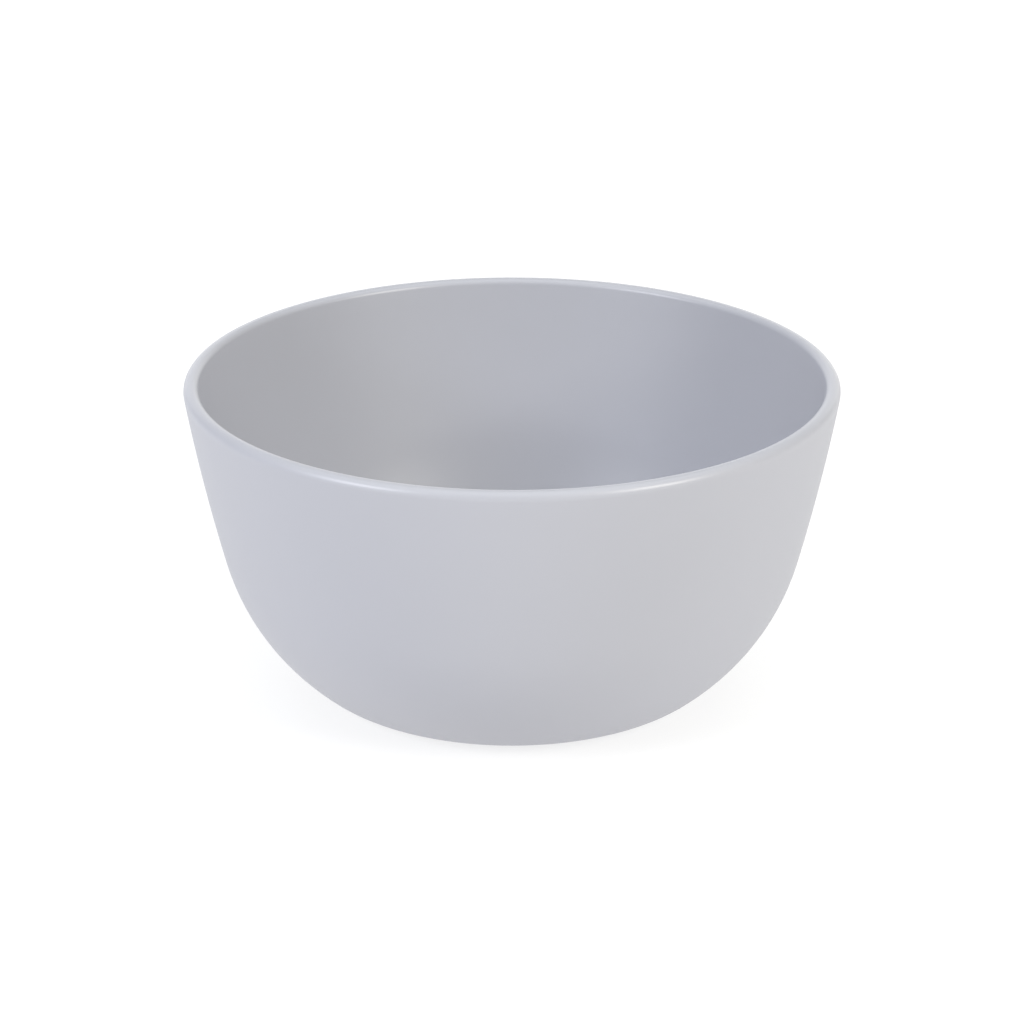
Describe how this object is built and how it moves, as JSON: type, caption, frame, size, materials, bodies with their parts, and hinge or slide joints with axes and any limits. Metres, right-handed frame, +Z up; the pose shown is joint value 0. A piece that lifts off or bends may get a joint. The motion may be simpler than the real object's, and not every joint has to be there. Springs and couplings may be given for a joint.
{
  "type": "serving bowl",
  "caption": "Deep round bowl with a rounded lip, a nearly straight side and a flat resting ring, for serving dips, chips and other small foods.",
  "frame": {"origin": "middle of the bowl, at the level of the table it stands on", "axes": "+Z up, along the bowl's axis; X and Y level, and free to choose because the bowl is round"},
  "size_m": [0.15, 0.15, 0.074],
  "materials": {
    "bowl_plastic": "satin, slightly smoother on the lip"
  },
  "bodies": {
    "root": {"bowl": "bowl_plastic"}
  },
  "joints": []
}
